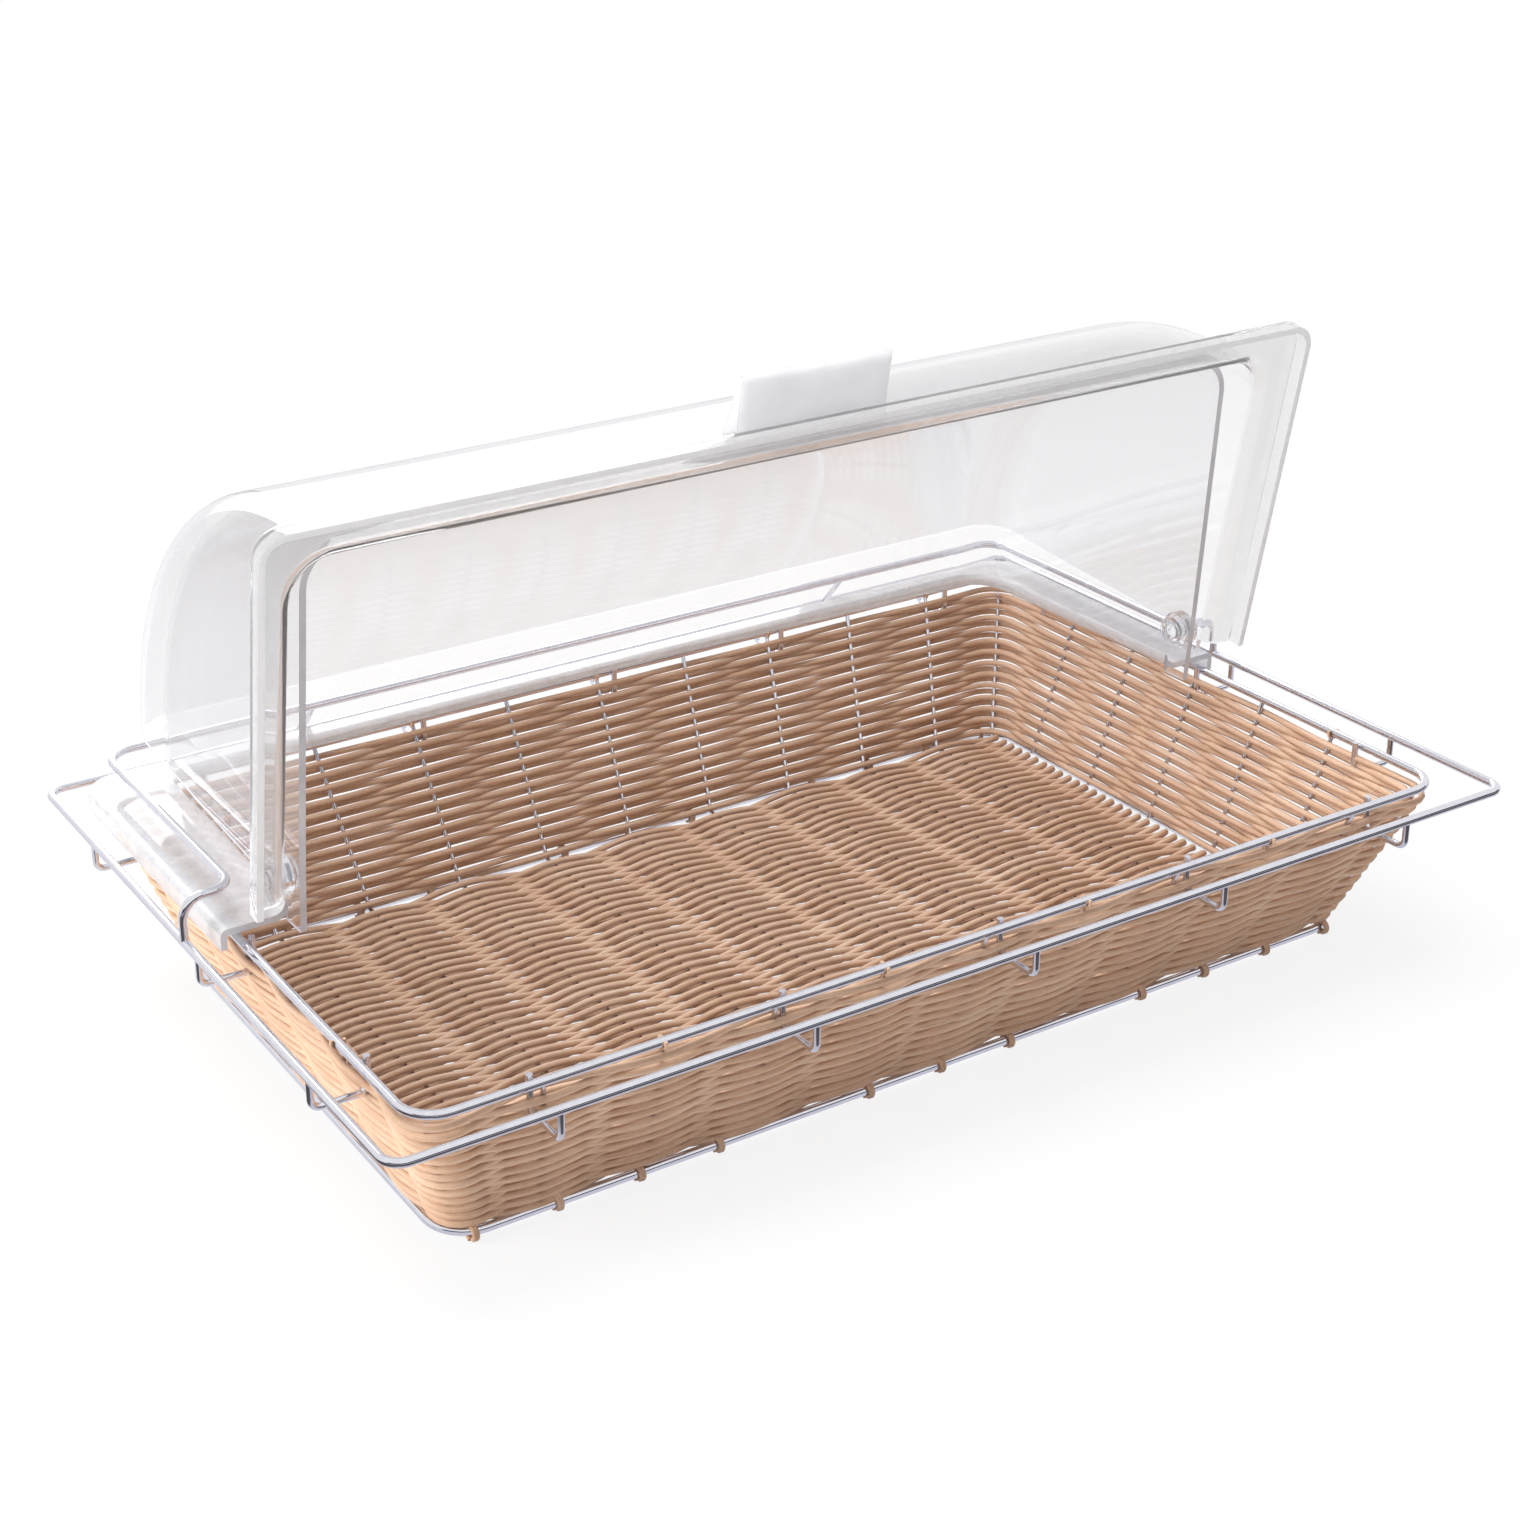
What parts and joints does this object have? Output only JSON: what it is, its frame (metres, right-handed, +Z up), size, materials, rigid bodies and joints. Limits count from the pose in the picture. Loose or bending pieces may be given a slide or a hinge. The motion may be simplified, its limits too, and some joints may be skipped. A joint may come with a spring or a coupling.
{
  "type": "countertop bread display bin",
  "caption": "Woven wire-framed basket hung in a chrome wire stand under a clear roll-top hood, whose front lid with a folded handle swings back over the fixed rear shell.",
  "frame": {"origin": "on the table, under the middle of the basket and stand", "axes": "+X to the right along the long side, +Y to the back, +Z up; the lid is open at rest"},
  "size_m": [0.5704, 0.3654, 0.2955],
  "materials": {
    "chrome_wire": "bright plated",
    "woven_strand": "round moulded strand, satin",
    "clear_hood": "clear, polished",
    "clear_fitting": "clear, polished",
    "satin_handle": "satin"
  },
  "bodies": {
    "basket_and_stand": {"basket_rim": "chrome_wire", "bottom_ring": "chrome_wire", "long_stakes": "chrome_wire", "left_end_stakes": "chrome_wire", "right_end_stakes": "chrome_wire", "corner_stakes": "chrome_wire", "wall_weave": "woven_strand", "floor_weave": "woven_strand", "rim_lashings": "woven_strand", "bottom_lashings": "woven_strand", "outer_ring": "chrome_wire", "upper_rail": "chrome_wire", "rail_struts": "chrome_wire", "front_hooks": "chrome_wire", "back_hooks": "chrome_wire", "left_hooks": "chrome_wire", "right_hooks": "chrome_wire", "rear_shell": "clear_hood", "left_hinge_pin": "clear_fitting", "right_hinge_pin": "clear_fitting", "left_hinge_spacer": "clear_fitting", "right_hinge_spacer": "clear_fitting"},
    "lid": {"front_lid": "clear_hood", "lid_handle": "satin_handle"}
  },
  "joints": [
    {"name": "lid_hinge", "type": "hinge", "parent": "basket_and_stand", "child": "lid", "pos_m": [0, -0.0042, 0.1095], "axis": [1, 0, 0], "range_deg": [0, 80]}
  ]
}
